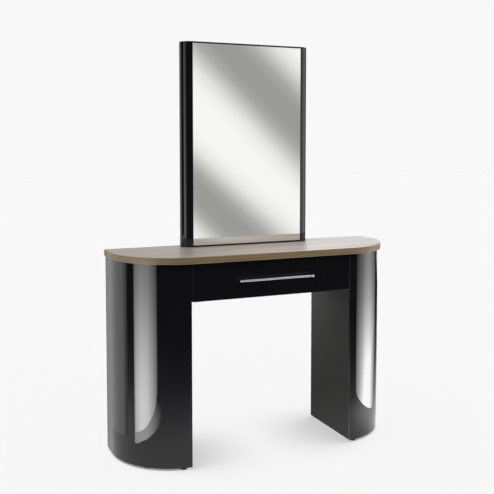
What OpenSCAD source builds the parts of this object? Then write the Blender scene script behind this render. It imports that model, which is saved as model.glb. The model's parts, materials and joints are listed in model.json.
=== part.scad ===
// Salon styling station: a console worktop with rounded front corners on two
// quarter-round pedestals, with a drawer between them and a framed mirror on top.
// +X is to the right, +Y to the back, +Z up. The origin is on the floor, in the
// middle of the whole station's footprint, handle included. Millimetres.

/* [Worktop] */
// Width of the worktop
top_w = 1300; // [1240:10:1400]
// Depth of the worktop
top_d = 396; // [380:2:420]
// Height of the worktop's upper face above the floor
top_h = 892; // [860:1:920]
// Thickness of the whole worktop
top_t = 28; // [25:1:32]
// Radius of the two rounded front corners
top_r = 288; // [270:2:300]

/* [Pedestals] */
// Clear width between the two pedestals
knee_w = 755; // [740:5:770]
// How far the pedestals' front is set back from the worktop's front
ped_front_inset = 20; // [16:1:28]
// How far the pedestals' outer side is set in from the worktop's end
ped_side_inset = 4; // [2:1:12]
// How far the pedestals' back is set in from the worktop's back
ped_back_inset = 4; // [2:1:12]
// Outer radius of the curved shells
ped_r = 282; // [266:2:290]
// Thickness of the curved shells
shell_t = 12; // [9:1:14]
// Thickness of the pedestals' flat panels and plates
panel_t = 18; // [16:1:19]
// Height of the pedestals' underside above the floor
foot_h = 10; // [8:1:14]

/* [Drawer] */
// Height of the drawer front
drawer_h = 158; // [150:2:170]
// Gap between the drawer front and each pedestal
drawer_gap = 4; // [2:0.5:5]
// Height of the drawer box's sides
box_h = 110; // [90:2:114]
// Length of the drawer runners
runner_len = 300; // [250:10:300]

/* [Handle] */
// Overall length of the handle
handle_len = 348; // [320:2:380]
// Distance between the centres of the handle's two posts
handle_centres = 256; // [192:32:256]
// Diameter of the handle's bar
handle_dia = 10; // [9:0.5:14]
// How far the handle stands out from the drawer front
handle_proj = 34; // [30:1:40]

/* [Mirror] */
// Width of the mirror frame
mirror_w = 628; // [600:4:660]
// Height of the mirror frame above the worktop
mirror_h = 912; // [800:4:1000]
// Width of each mirror post, which is also the radius of its rounded corner
post_w = 46; // [42:1:50]
// Depth of each mirror post
post_d = 52; // [51:1:60]
// Distance from the worktop's back edge to the back of the mirror frame
mirror_setback = 43; // [20:1:60]

/* [Hidden] */

$fn = 96;
// Extra length of a cutting shape past the face it cuts
eps = 1;

// Station depth and the y of each main face
total_d = top_d + handle_proj - ped_front_inset;
back_y = total_d / 2;
top_front_y = back_y - top_d;
ped_front_y = top_front_y + ped_front_inset;
ped_back_y = back_y - ped_back_inset;

// Worktop
top_z0 = top_h - top_t;
laminate_t = 1;
band_t = 2;

// Pedestals, described for the right-hand one
ped_z0 = foot_h;
ped_h = top_z0 - ped_z0;
knee_x = knee_w / 2;
ped_x = top_w / 2 - ped_side_inset;
ped_back_t = 12;
plate_x0 = knee_x + panel_t;
plate_front_y = ped_front_y + shell_t;
plate_back_y = ped_back_y - ped_back_t;
ped_arc_x = ped_x - ped_r;
ped_arc_y = ped_front_y + ped_r;
former_window_r = 62;
former_window_shift = [-6, 28];
former_window = [
    (plate_x0 + ped_x - shell_t) / 2 + former_window_shift[0],
    (plate_front_y + plate_back_y) / 2 + former_window_shift[1]
];

// Levelling feet: pad, hexagonal collar and threaded stud, in a threaded insert
foot_side_inset = 31;
foot_front_inset = 28;
foot_pad_r = 16;
foot_pad_h = 5;
foot_pad_chamfer = 1;
foot_collar_r = 7.5;
foot_collar_gap = 0.4;
stud_r = 4;
stud_len = 24;
thread_gap = 0.05;
insert_r = 5.5;
insert_h = 14;
stud_way_r = 4.5;
foot_inner_x = knee_x + foot_side_inset;
foot_back_y = ped_back_y - foot_front_inset;
foot_arc_reach = (ped_r - foot_side_inset) * sqrt(0.5);
FOOT_INNER_FRONT = [foot_inner_x, ped_front_y + foot_front_inset];
FOOT_INNER_BACK = [foot_inner_x, foot_back_y];
FOOT_OUTER_BACK = [ped_x - foot_side_inset, foot_back_y];
FOOT_ARC = [ped_arc_x + foot_arc_reach, ped_arc_y - foot_arc_reach];
FEET = [FOOT_INNER_FRONT, FOOT_INNER_BACK, FOOT_OUTER_BACK, FOOT_ARC];

// Drawer front and the housing behind it
top_gap = 3;
drawer_front_t = 18;
drawer_z1 = top_z0 - top_gap;
drawer_z0 = drawer_z1 - drawer_h;
drawer_back_y = ped_front_y + drawer_front_t;
carcass_t = 16;
carcass_bottom_t = 12;
carcass_gap = 2;
carcass_back_inset = 10;
carcass_x = knee_x - carcass_t;
carcass_front_y = drawer_back_y + carcass_gap;
carcass_back_y = ped_back_y - carcass_back_inset - carcass_t;

// Drawer box
runner_gap = 13;
box_t = 12;
box_past_runner = 10;
box_len = runner_len + box_past_runner;
box_lift = 22;
box_x = carcass_x - runner_gap;
box_inner_x = box_x - box_t;
box_z = drawer_z0 + box_lift;
box_back_y = drawer_back_y + box_len;
groove_depth = 6;
bottom_t = 6;
groove_lift = 6;
bottom_z = box_z + groove_lift;

// Roller runners, described for the right-hand pair
runner_t = 1.2;
runner_inset = 4;
runner_y0 = drawer_back_y + runner_inset;
roller_r = 11;
roller_w = 8;
roller_bore_r = 2.55;
axle_r = 2.5;
axle_head_r = 4;
axle_head_t = 0.7;
axle_gap = 1;
axle_x0 = box_x + runner_t + axle_gap;
axle_len = runner_gap - 2 * runner_t - axle_gap + runner_t / 2;
roll_gap = 0.2;
track_lift = 21.8;
track_z = box_z + track_lift;
roller_z = track_z - roll_gap - roller_r;
channel_z = roller_z - roller_r - roll_gap;
track_w = 6.8;
lip_w = 3;
runner_side_gap = 0.5;
cabinet_web_h = 37;
support_w = 11;
front_roller_inset = 13;
rear_roller_inset = 14;
front_roller_y = runner_y0 + front_roller_inset;
rear_roller_y = runner_y0 + runner_len - rear_roller_inset;
cabinet_screw_lift = 31;
cabinet_screw_z = channel_z + cabinet_screw_lift;
runner_screw_inset = 38;
RUNNER_SCREW_YS = [
    runner_y0 + runner_screw_inset,
    runner_y0 + runner_len / 2,
    runner_y0 + runner_len - runner_screw_inset
];

// Handle
handle_r = handle_dia / 2;
handle_y = ped_front_y - handle_proj + handle_r;
handle_z = (drawer_z0 + drawer_z1) / 2;
handle_post_r = 4;
cap_len = 17;
cap_neck_len = 4.5;
cap_neck_drop = 1.8;
cap_chamfer = 0.8;
m4_r = 2;
m4_way_r = 2.2;
m4_depth = 12;
m4_end_gap = 2;
m4_len = drawer_front_t + box_t + m4_depth - m4_end_gap;

// Mirror frame, described for the right-hand post
mirror_back_y = back_y - mirror_setback;
mirror_front_y = mirror_back_y - post_d;
mirror_top_z = top_h + mirror_h;
post_x0 = mirror_w / 2 - post_w;
rebate_lip = 3;
rebate_depth = 6;
glass_t = 5;
board_t = 6;
rail_d = 40;
top_rail_h = 7;
bottom_rail_h = 8;
rail_rebate = 3;
rebate_y = mirror_front_y + rebate_lip;
bolt_side_inset = 18.5;
bolt_front_inset = 18;
bolt_pitch = 22;
bolt_x = post_x0 + bolt_side_inset;
BOLT_YS = [mirror_front_y + bolt_front_inset, mirror_front_y + bolt_front_inset + bolt_pitch];
bolt_r = 3;
bolt_way_r = 3.5;
bolt_reach = 40;
bolt_end_gap = 2;
bolt_head_r = 5;
bolt_head_h = 4;

// Screws that hold the worktop, and bolts that hold the drawer housing
screw_r = 2;
screw_way_r = 2.25;
screw_bite = 16;
screw_head_r = 4;
screw_head_h = 2.5;
screw_inner_inset = 25;
screw_outer_inset = 80;
screw_edge_inset = 50;
screw_arc_reach = 155;
WORKTOP_SCREWS = [
    [plate_x0 + screw_inner_inset, ped_front_y + screw_edge_inset],
    [plate_x0 + screw_inner_inset, ped_back_y - screw_edge_inset],
    [ped_x - screw_outer_inset, ped_back_y - screw_edge_inset],
    [ped_arc_x + screw_arc_reach, ped_arc_y - screw_arc_reach]
];
joint_bolt_r = 3;
joint_way_r = 3.25;
joint_head_r = 6;
joint_nut_t = 5;
joint_drop = 64;
joint_inset = 42;
joint_z = top_z0 - joint_drop;
JOINT_YS = [carcass_front_y + joint_inset, carcass_back_y - joint_inset];
small_screw_r = 1.75;
small_head_r = 3.5;
small_head_h = 1.6;
small_screw_len = 12;
edge_screw_inset = 3;
edge_screw_x = box_x - edge_screw_inset;
edge_screw_r = 1.5;
edge_head_r = 2.9;
front_screw_x = 250;
front_screw_len = 12;
front_screw_inset = 22;
FRONT_SCREW_ZS = [box_z + front_screw_inset, box_z + box_h - front_screw_inset];

// ---------------------------------------------------------------- helpers

// Draws a right-hand piece as it is, or mirrored for the left
module on_side(side) {
    if (side == "left") mirror([1, 0, 0]) children();
    else children();
}

// Outline of a board with a straight back and two rounded front corners
module rounded_board(half_w, front, back, r) {
    intersection() {
        translate([-half_w, front])
            square([2 * half_w, back - front]);
        union() {
            translate([-half_w + r, front])
                square([2 * (half_w - r), back - front]);
            translate([-half_w, front + r])
                square([2 * half_w, back - front - r]);
            for (s = [-1, 1])
                translate([s * (half_w - r), front + r])
                    circle(r = r, $fn = 180);
        }
    }
}

// The part of such an outline that lies to the right of x0
module rounded_board_right_of(x0, half_w, front, back, r) {
    intersection() {
        rounded_board(half_w, front, back, r);
        translate([x0, front - eps])
            square([half_w, back - front + 2 * eps]);
    }
}

// A box between two corners
module box(low, high) {
    translate(low) cube(high - low);
}

// A cylinder that starts at a point and runs along +X, +Y or +Z
module rod_x(p, r, len) {
    translate(p) rotate([0, 90, 0]) cylinder(r = r, h = len);
}
module rod_y(p, r, len) {
    translate(p) rotate([-90, 0, 0]) cylinder(r = r, h = len);
}
module rod_z(p, r, len) {
    translate(p) cylinder(r = r, h = len);
}

// ---------------------------------------------------------------- worktop

// Clearance holes for the bolts that hold the mirror frame
module mirror_bolt_ways() {
    for (s = [-1, 1])
        for (y = BOLT_YS)
            rod_z([s * bolt_x, y, top_z0 - eps], bolt_way_r, top_t + 2 * eps);
}

module worktop_core() {
    color("#9a8f86") difference() {
        translate([0, 0, top_z0])
            linear_extrude(top_t - laminate_t)
                rounded_board(top_w / 2 - band_t, top_front_y + band_t, back_y - band_t, top_r - band_t);
        mirror_bolt_ways();
        for (s = [-1, 1])
            for (p = WORKTOP_SCREWS)
                rod_z([s * p[0], p[1], top_z0 - eps], screw_r + thread_gap, screw_bite + eps);
    }
}

module worktop_laminate() {
    color("#b5aaa2") difference() {
        translate([0, 0, top_h - laminate_t])
            linear_extrude(laminate_t)
                rounded_board(top_w / 2 - band_t, top_front_y + band_t, back_y - band_t, top_r - band_t);
        mirror_bolt_ways();
    }
}

module worktop_edge_band() {
    color("#8f7d62")
        translate([0, 0, top_z0])
            linear_extrude(top_t)
                difference() {
                    rounded_board(top_w / 2, top_front_y, back_y, top_r);
                    rounded_board(top_w / 2 - band_t, top_front_y + band_t, back_y - band_t, top_r - band_t);
                }
}

// ---------------------------------------------------------------- pedestals

// One bent panel that forms the front and the outer side
module curved_shell() {
    color("#0d0e12")
        translate([0, 0, ped_z0])
            linear_extrude(ped_h)
                difference() {
                    rounded_board_right_of(knee_x, ped_x, ped_front_y, ped_back_y, ped_r);
                    rounded_board(ped_x - shell_t, plate_front_y, ped_back_y + eps, ped_r - shell_t);
                }
}

// The flat side towards the knee space, whose front end follows the shell's inside
module inner_panel() {
    color("#37383a") difference() {
        translate([0, 0, ped_z0])
            linear_extrude(ped_h)
                intersection() {
                    rounded_board(ped_x - shell_t, plate_front_y, ped_back_y, ped_r - shell_t);
                    translate([knee_x, plate_front_y])
                        square([panel_t, ped_back_y - plate_front_y]);
                }
        for (y = JOINT_YS)
            rod_x([knee_x - eps, y, joint_z], joint_way_r, panel_t + 2 * eps);
    }
}

module back_panel() {
    color("#141518")
        box([plate_x0, plate_back_y, ped_z0], [ped_x - shell_t, ped_back_y, top_z0]);
}

// A flat plate that fills the pedestal's inside outline
module plate(z) {
    translate([0, 0, z])
        linear_extrude(panel_t)
            rounded_board_right_of(plate_x0, ped_x - shell_t, plate_front_y, plate_back_y, ped_r - shell_t);
}

module top_plate() {
    color("#b59b74") difference() {
        plate(top_z0 - panel_t);
        for (p = WORKTOP_SCREWS)
            rod_z([p[0], p[1], top_z0 - panel_t - eps], screw_way_r, panel_t + 2 * eps);
    }
}

module middle_former() {
    former_z = ped_z0 + (ped_h - panel_t) / 2;
    color("#b59b74") difference() {
        plate(former_z);
        rod_z([former_window[0], former_window[1], former_z - eps], former_window_r, panel_t + 2 * eps);
    }
}

module bottom_plate() {
    color("#b59b74") difference() {
        plate(ped_z0);
        for (p = FEET) {
            rod_z([p[0], p[1], ped_z0 - eps], insert_r, insert_h + eps);
            rod_z([p[0], p[1], ped_z0], stud_way_r, panel_t + eps);
        }
    }
}

// A levelling foot that turns on its stud
module foot(p) {
    color("#1c1c1e") translate([p[0], p[1], 0]) {
        cylinder(r1 = foot_pad_r - foot_pad_chamfer, r2 = foot_pad_r, h = foot_pad_chamfer);
        rod_z([0, 0, foot_pad_chamfer], foot_pad_r, foot_pad_h - foot_pad_chamfer);
        rod_z([0, 0, foot_pad_h], foot_collar_r, foot_h - foot_pad_h - foot_collar_gap, $fn = 6);
        rod_z([0, 0, foot_pad_h], stud_r, foot_h - foot_pad_h + stud_len);
    }
}

module foot_inserts() {
    color("#b08d3c")
        for (side = ["left", "right"])
            on_side(side)
                for (p = FEET)
                    difference() {
                        rod_z([p[0], p[1], ped_z0], insert_r, insert_h);
                        rod_z([p[0], p[1], ped_z0 - eps], stud_r + thread_gap, insert_h + 2 * eps);
                    }
}

// ---------------------------------------------------------------- drawer housing

module carcass_side() {
    color("#17181a") difference() {
        box([carcass_x, carcass_front_y, drawer_z0], [knee_x, carcass_back_y, top_z0]);
        for (y = JOINT_YS)
            rod_x([carcass_x - eps, y, joint_z], joint_way_r, carcass_t + 2 * eps);
        for (y = RUNNER_SCREW_YS)
            rod_x([carcass_x - eps, y, cabinet_screw_z], small_screw_r, small_screw_len + eps);
    }
}

module carcass_back() {
    color("#17181a")
        box([-knee_x, carcass_back_y, drawer_z0], [knee_x, carcass_back_y + carcass_t, top_z0]);
}

module carcass_bottom() {
    color("#17181a")
        box([-carcass_x, carcass_front_y, drawer_z0],
            [carcass_x, carcass_back_y, drawer_z0 + carcass_bottom_t]);
}

// ---------------------------------------------------------------- drawer

// Clearance holes for the two handle screws, through both front boards
module handle_screw_ways() {
    for (s = [-1, 1])
        rod_y([s * handle_centres / 2, ped_front_y - eps, handle_z], m4_way_r,
              drawer_front_t + box_t + 2 * eps);
}

// Where the screws go that hold the drawer front on the box front
module at_front_screws() {
    for (sx = [-1, 1])
        for (z = FRONT_SCREW_ZS)
            translate([sx * front_screw_x, drawer_back_y + box_t, z])
                children();
}

module drawer_front() {
    color("#0c0d11") difference() {
        box([-knee_x + drawer_gap, ped_front_y, drawer_z0], [knee_x - drawer_gap, drawer_back_y, drawer_z1]);
        handle_screw_ways();
        at_front_screws()
            rod_y([0, -box_t - front_screw_len, 0], small_screw_r, front_screw_len + eps);
    }
}

module drawer_box_front() {
    color("#c9c4ba") difference() {
        box([-box_inner_x, drawer_back_y, box_z], [box_inner_x, drawer_back_y + box_t, box_z + box_h]);
        box([-box_inner_x - eps, drawer_back_y + box_t - groove_depth, bottom_z],
            [box_inner_x + eps, drawer_back_y + box_t + eps, bottom_z + bottom_t]);
        handle_screw_ways();
        at_front_screws()
            rod_y([0, -box_t - eps, 0], small_screw_r, box_t + 2 * eps);
    }
}

module drawer_side() {
    color("#c9c4ba") difference() {
        box([box_inner_x, drawer_back_y, box_z], [box_x, box_back_y, box_z + box_h]);
        box([box_inner_x - eps, drawer_back_y + box_t - groove_depth, bottom_z],
            [box_inner_x + groove_depth, box_back_y - box_t + groove_depth, bottom_z + bottom_t]);
        for (y = RUNNER_SCREW_YS)
            rod_z([edge_screw_x, y, box_z - eps], edge_screw_r, small_screw_len + eps);
    }
}

module drawer_box_back() {
    color("#c9c4ba") difference() {
        box([-box_inner_x, box_back_y - box_t, box_z], [box_inner_x, box_back_y, box_z + box_h]);
        box([-box_inner_x - eps, box_back_y - box_t - eps, bottom_z],
            [box_inner_x + eps, box_back_y - box_t + groove_depth, bottom_z + bottom_t]);
    }
}

module drawer_bottom() {
    color("#bdb7ab")
        box([-box_inner_x - groove_depth, drawer_back_y + box_t - groove_depth, bottom_z],
            [box_inner_x + groove_depth, box_back_y - box_t + groove_depth, bottom_z + bottom_t]);
}

// ---------------------------------------------------------------- runners

// Channel on the housing: the rear roller runs in it, and the front roller's axle is riveted to it
module cabinet_runner() {
    web_x = carcass_x - runner_t;
    y1 = runner_y0 + runner_len;
    color("#c6c8ca") difference() {
        union() {
            box([web_x, runner_y0, channel_z - runner_t],
                [carcass_x, y1, channel_z - runner_t + cabinet_web_h]);
            box([box_x + runner_t + runner_side_gap, runner_y0, channel_z - runner_t],
                [carcass_x, y1, channel_z]);
            box([web_x - lip_w, runner_y0, track_z], [carcass_x, y1, track_z + runner_t]);
            rod_x([axle_x0, front_roller_y, roller_z], axle_r, axle_len);
            rod_x([box_x + runner_t + axle_head_t, front_roller_y, roller_z], axle_head_r, axle_head_t);
        }
        for (y = RUNNER_SCREW_YS)
            rod_x([web_x - eps, y, cabinet_screw_z], small_screw_r, runner_t + 2 * eps);
    }
}

// Angle on the drawer: its track rides on the front roller, and it carries the rear roller's axle
module drawer_runner() {
    y1 = runner_y0 + runner_len;
    color("#c6c8ca") difference() {
        union() {
            box([box_x, runner_y0, box_z - runner_t], [box_x + runner_t, y1, track_z + runner_t]);
            box([box_x - support_w, runner_y0, box_z - runner_t], [box_x + runner_t, y1, box_z]);
            box([box_x, runner_y0, track_z], [box_x + runner_t + track_w, y1, track_z + runner_t]);
            rod_x([box_x + runner_t / 2, rear_roller_y, roller_z], axle_r, axle_len);
            rod_x([carcass_x - runner_t - 2 * axle_head_t, rear_roller_y, roller_z],
                  axle_head_r, axle_head_t);
        }
        for (y = RUNNER_SCREW_YS)
            rod_z([edge_screw_x, y, box_z - runner_t - eps], edge_screw_r, runner_t + 2 * eps);
    }
}

// A nylon roller whose near face is at x
module roller(x, y) {
    color("#ece9e2") difference() {
        rod_x([x, y, roller_z], roller_r, roller_w);
        rod_x([x - eps, y, roller_z], roller_bore_r, roller_w + 2 * eps);
    }
}

module front_roller() {
    roller(box_x + runner_t + 2 * axle_head_t + roll_gap, front_roller_y);
}

module rear_roller() {
    roller(axle_x0, rear_roller_y);
}

// ---------------------------------------------------------------- handle

module handle_bar() {
    bar_len = handle_len - 2 * cap_len;
    color("#d8dadc")
        rod_x([-bar_len / 2, handle_y, handle_z], handle_r, bar_len);
}

// A post whose front end is saddled to the bar, with a threaded hole in its foot
module handle_post() {
    color("#d8dadc") difference() {
        rod_y([handle_centres / 2, handle_y, handle_z], handle_post_r, ped_front_y - handle_y);
        rod_x([0, handle_y, handle_z], handle_r, handle_centres);
        rod_y([handle_centres / 2, ped_front_y - m4_depth, handle_z], m4_r, m4_depth + eps);
    }
}

// A cap with a thin neck that leaves a dark groove between it and the bar
module handle_end_cap() {
    neck_r = handle_r - cap_neck_drop;
    translate([handle_len / 2 - cap_len, handle_y, handle_z])
        rotate([0, 90, 0])
            rotate_extrude()
                polygon([
                    [0, 0], [neck_r, 0], [neck_r, cap_neck_len], [handle_r, cap_neck_len],
                    [handle_r, cap_len - cap_chamfer], [handle_r - cap_chamfer, cap_len], [0, cap_len]
                ]);
}

module handle_end_caps() {
    color("#e6e7e8")
        for (side = ["left", "right"])
            on_side(side) handle_end_cap();
}

module handle_screws() {
    color("#9a9c9e")
        for (s = [-1, 1])
            translate([s * handle_centres / 2, drawer_back_y + box_t, handle_z]) {
                rod_y([0, -m4_len, 0], m4_r, m4_len);
                rod_y([0, 0, 0], screw_head_r, screw_head_h);
            }
}

// ---------------------------------------------------------------- mirror

// A post with a rounded outer front corner and a rebate for the glass and its backboard
module mirror_post() {
    color("#0d0e12") difference() {
        translate([0, 0, top_h])
            linear_extrude(mirror_h) {
                intersection() {
                    translate([post_x0, mirror_front_y + post_w])
                        circle(r = post_w, $fn = 180);
                    translate([post_x0, mirror_front_y - eps])
                        square([post_w + eps, post_w + eps]);
                }
                translate([post_x0, mirror_front_y + post_w])
                    square([post_w, post_d - post_w]);
            }
        box([post_x0 - eps, rebate_y, top_h - eps],
            [post_x0 + rebate_depth, rebate_y + glass_t + board_t, mirror_top_z - top_rail_h + rail_rebate]);
        for (y = BOLT_YS)
            rod_z([bolt_x, y, top_h - eps], bolt_r, bolt_reach + eps);
    }
}

// A sheet that fills the frame's rebate
module rebate_sheet(y0, t) {
    half = post_x0 + rebate_depth;
    box([-half, y0, top_h + bottom_rail_h - rail_rebate],
        [half, y0 + t, mirror_top_z - top_rail_h + rail_rebate]);
}

module mirror_glass() {
    color("#c9cdcc") rebate_sheet(rebate_y, glass_t);
}

module mirror_backboard() {
    color("#232427") rebate_sheet(rebate_y + glass_t, board_t);
}

// A thin rail between the posts, with a rebate for the glass
module rail(z0, h, rebate_z) {
    color("#101115") difference() {
        box([-post_x0, mirror_front_y, z0], [post_x0, mirror_front_y + rail_d, z0 + h]);
        box([-post_x0 - eps, rebate_y, rebate_z],
            [post_x0 + eps, rebate_y + glass_t + board_t, rebate_z + rail_rebate + eps]);
    }
}

module mirror_top_rail() {
    rail(mirror_top_z - top_rail_h, top_rail_h, mirror_top_z - top_rail_h - eps);
}

module mirror_bottom_rail() {
    rail(top_h, bottom_rail_h, top_h + bottom_rail_h - rail_rebate);
}

module mirror_bolts() {
    color("#8d8f92")
        for (s = [-1, 1])
            for (y = BOLT_YS) {
                rod_z([s * bolt_x, y, top_z0], bolt_r, top_t + bolt_reach - bolt_end_gap);
                rod_z([s * bolt_x, y, top_z0 - bolt_head_h], bolt_head_r, bolt_head_h, $fn = 6);
            }
}

// ---------------------------------------------------------------- fasteners

module worktop_screws() {
    color("#a8a9ab")
        for (s = [-1, 1])
            for (p = WORKTOP_SCREWS) {
                rod_z([s * p[0], p[1], top_z0 - panel_t], screw_r, panel_t + screw_bite);
                rod_z([s * p[0], p[1], top_z0 - panel_t - screw_head_h], screw_head_r, screw_head_h);
            }
}

// Bolts through the housing's sides into the pedestals, each with its nut
module carcass_bolts() {
    reach = carcass_t + panel_t;
    color("#a8a9ab")
        for (side = ["left", "right"])
            on_side(side)
                for (y = JOINT_YS) {
                    rod_x([carcass_x - screw_head_h, y, joint_z], joint_head_r, screw_head_h);
                    rod_x([carcass_x, y, joint_z], joint_bolt_r, reach + joint_nut_t);
                    difference() {
                        rod_x([carcass_x + reach, y, joint_z], joint_head_r, joint_nut_t, $fn = 6);
                        rod_x([carcass_x + reach - eps, y, joint_z], joint_bolt_r, joint_nut_t + 2 * eps);
                    }
                }
}

module cabinet_runner_screws() {
    web_x = carcass_x - runner_t;
    color("#a8a9ab")
        for (side = ["left", "right"])
            on_side(side)
                for (y = RUNNER_SCREW_YS) {
                    rod_x([web_x - small_head_h, y, cabinet_screw_z], small_head_r, small_head_h);
                    rod_x([web_x, y, cabinet_screw_z], small_screw_r, runner_t + small_screw_len);
                }
}

// Screws up through the drawer runners, and through the box front into the drawer front
module drawer_screws() {
    color("#a8a9ab") {
        for (side = ["left", "right"])
            on_side(side)
                for (y = RUNNER_SCREW_YS) {
                    rod_z([edge_screw_x, y, box_z - runner_t - small_head_h], edge_head_r, small_head_h);
                    rod_z([edge_screw_x, y, box_z - runner_t], edge_screw_r, runner_t + small_screw_len);
                }
        at_front_screws() {
            rod_y([0, 0, 0], small_head_r, small_head_h);
            rod_y([0, -box_t - front_screw_len, 0], small_screw_r, box_t + front_screw_len);
        }
    }
}

// ---------------------------------------------------------------- nodes

worktop_core();
worktop_laminate();
worktop_edge_band();

on_side("left") curved_shell();  // left_curved_shell
on_side("left") inner_panel();  // left_inner_panel
on_side("left") back_panel();  // left_back_panel
on_side("left") top_plate();  // left_top_plate
on_side("left") middle_former();  // left_middle_former
on_side("left") bottom_plate();  // left_bottom_plate

on_side("right") curved_shell();  // right_curved_shell
on_side("right") inner_panel();  // right_inner_panel
on_side("right") back_panel();  // right_back_panel
on_side("right") top_plate();  // right_top_plate
on_side("right") middle_former();  // right_middle_former
on_side("right") bottom_plate();  // right_bottom_plate

on_side("left") foot(FOOT_INNER_FRONT);  // left_foot_inner_front
on_side("left") foot(FOOT_INNER_BACK);  // left_foot_inner_back
on_side("left") foot(FOOT_OUTER_BACK);  // left_foot_outer_back
on_side("left") foot(FOOT_ARC);  // left_foot_arc
on_side("right") foot(FOOT_INNER_FRONT);  // right_foot_inner_front
on_side("right") foot(FOOT_INNER_BACK);  // right_foot_inner_back
on_side("right") foot(FOOT_OUTER_BACK);  // right_foot_outer_back
on_side("right") foot(FOOT_ARC);  // right_foot_arc
foot_inserts();

on_side("left") carcass_side();  // carcass_left_side
on_side("right") carcass_side();  // carcass_right_side
carcass_back();
carcass_bottom();

drawer_front();
drawer_box_front();
on_side("left") drawer_side();  // drawer_left_side
on_side("right") drawer_side();  // drawer_right_side
drawer_box_back();
drawer_bottom();

on_side("left") cabinet_runner();  // left_cabinet_runner
on_side("left") drawer_runner();  // left_drawer_runner
on_side("left") front_roller();  // left_front_roller
on_side("left") rear_roller();  // left_rear_roller
on_side("right") cabinet_runner();  // right_cabinet_runner
on_side("right") drawer_runner();  // right_drawer_runner
on_side("right") front_roller();  // right_front_roller
on_side("right") rear_roller();  // right_rear_roller

handle_bar();
on_side("left") handle_post();  // handle_left_post
on_side("right") handle_post();  // handle_right_post
handle_end_caps();
handle_screws();

mirror_glass();
mirror_backboard();
on_side("left") mirror_post();  // mirror_left_post
on_side("right") mirror_post();  // mirror_right_post
mirror_top_rail();
mirror_bottom_rail();
mirror_bolts();

worktop_screws();
carcass_bolts();
cabinet_runner_screws();
drawer_screws();
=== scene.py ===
# Salon styling station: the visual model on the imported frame, with its studio.
# Metres; +X to the right, +Y to the back, +Z up.
import json
import math

import bmesh
import bpy
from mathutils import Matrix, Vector


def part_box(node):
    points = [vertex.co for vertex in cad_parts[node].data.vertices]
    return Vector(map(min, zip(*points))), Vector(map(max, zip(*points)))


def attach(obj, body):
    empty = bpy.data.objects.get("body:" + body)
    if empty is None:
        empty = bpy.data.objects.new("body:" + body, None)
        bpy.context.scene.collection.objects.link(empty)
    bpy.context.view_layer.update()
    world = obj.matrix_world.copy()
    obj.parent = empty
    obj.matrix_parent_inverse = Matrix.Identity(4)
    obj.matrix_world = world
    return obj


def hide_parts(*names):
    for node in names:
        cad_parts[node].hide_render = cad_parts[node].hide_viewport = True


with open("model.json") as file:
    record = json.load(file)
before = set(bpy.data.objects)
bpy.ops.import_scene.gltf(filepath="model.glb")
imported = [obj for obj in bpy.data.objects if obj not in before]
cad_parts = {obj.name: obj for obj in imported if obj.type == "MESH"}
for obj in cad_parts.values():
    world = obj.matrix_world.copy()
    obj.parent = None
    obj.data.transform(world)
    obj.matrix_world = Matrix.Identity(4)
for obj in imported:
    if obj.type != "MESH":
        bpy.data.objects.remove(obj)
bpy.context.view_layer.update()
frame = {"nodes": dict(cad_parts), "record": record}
MM = 0.001


# ------------------------------------------------------------------ sizes from the frame
TOP_LOW, TOP_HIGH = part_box("worktop_edge_band")
HALF_W = TOP_HIGH[0]
FRONT_Y, BACK_Y = TOP_LOW[1], TOP_HIGH[1]
TOP_Z0, TOP_Z1 = TOP_LOW[2], TOP_HIGH[2]
LAM_LOW, LAM_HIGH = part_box("worktop_laminate")
BAND_T = HALF_W - LAM_HIGH[0]
TOP_R = 288 * MM
SHELL_LOW, SHELL_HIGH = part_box("right_curved_shell")
SHELL_R = 282 * MM
SHELL_T = 12 * MM
DRAWER_LOW, DRAWER_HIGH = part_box("drawer_front")
POST_LOW, POST_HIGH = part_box("mirror_right_post")
POST_W = POST_HIGH[0] - POST_LOW[0]
GLASS_LOW, GLASS_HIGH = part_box("mirror_glass")
BOARD_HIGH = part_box("mirror_backboard")[1]
BAR_LOW, BAR_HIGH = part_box("handle_bar")
CAP_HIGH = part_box("handle_end_caps")[1]
POSTS = {"left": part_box("handle_left_post"), "right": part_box("handle_right_post")}


# ------------------------------------------------------------------ node helpers
def material(name):
    """A new material with one Principled shader. Returns the material, its tree and the shader."""
    mat = bpy.data.materials.new(name)
    mat.use_nodes = True
    tree = mat.node_tree
    tree.nodes.clear()
    out = tree.nodes.new("ShaderNodeOutputMaterial")
    shader = tree.nodes.new("ShaderNodeBsdfPrincipled")
    tree.links.new(shader.outputs["BSDF"], out.inputs["Surface"])
    return mat, tree, shader


def place(tree, scale=(1, 1, 1), rotation=(0, 0, 0)):
    """Object coordinates, stretched by scale."""
    coord = tree.nodes.new("ShaderNodeTexCoord")
    mapping = tree.nodes.new("ShaderNodeMapping")
    mapping.inputs["Scale"].default_value = scale
    mapping.inputs["Rotation"].default_value = rotation
    tree.links.new(coord.outputs["Object"], mapping.inputs["Vector"])
    return mapping.outputs["Vector"]


def noise(tree, vector, scale, detail=4.0, rough=0.55, distortion=0.0):
    node = tree.nodes.new("ShaderNodeTexNoise")
    node.inputs["Scale"].default_value = scale
    node.inputs["Detail"].default_value = detail
    node.inputs["Roughness"].default_value = rough
    node.inputs["Distortion"].default_value = distortion
    tree.links.new(vector, node.inputs["Vector"])
    return node.outputs["Fac"]


def ramp(tree, fac, stops, mode="LINEAR"):
    """A colour ramp; each stop is (position, grey or colour)."""
    node = tree.nodes.new("ShaderNodeValToRGB")
    node.color_ramp.interpolation = mode
    elements = node.color_ramp.elements
    while len(elements) < len(stops):
        elements.new(0.5)
    for element, (at, value) in zip(elements, stops):
        element.position = at
    for element, (at, value) in zip(elements, stops):
        grey = isinstance(value, (int, float))
        element.color = (value, value, value, 1) if grey else (*value, 1)
    tree.links.new(fac, node.inputs["Fac"])
    return node.outputs["Color"]


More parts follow.
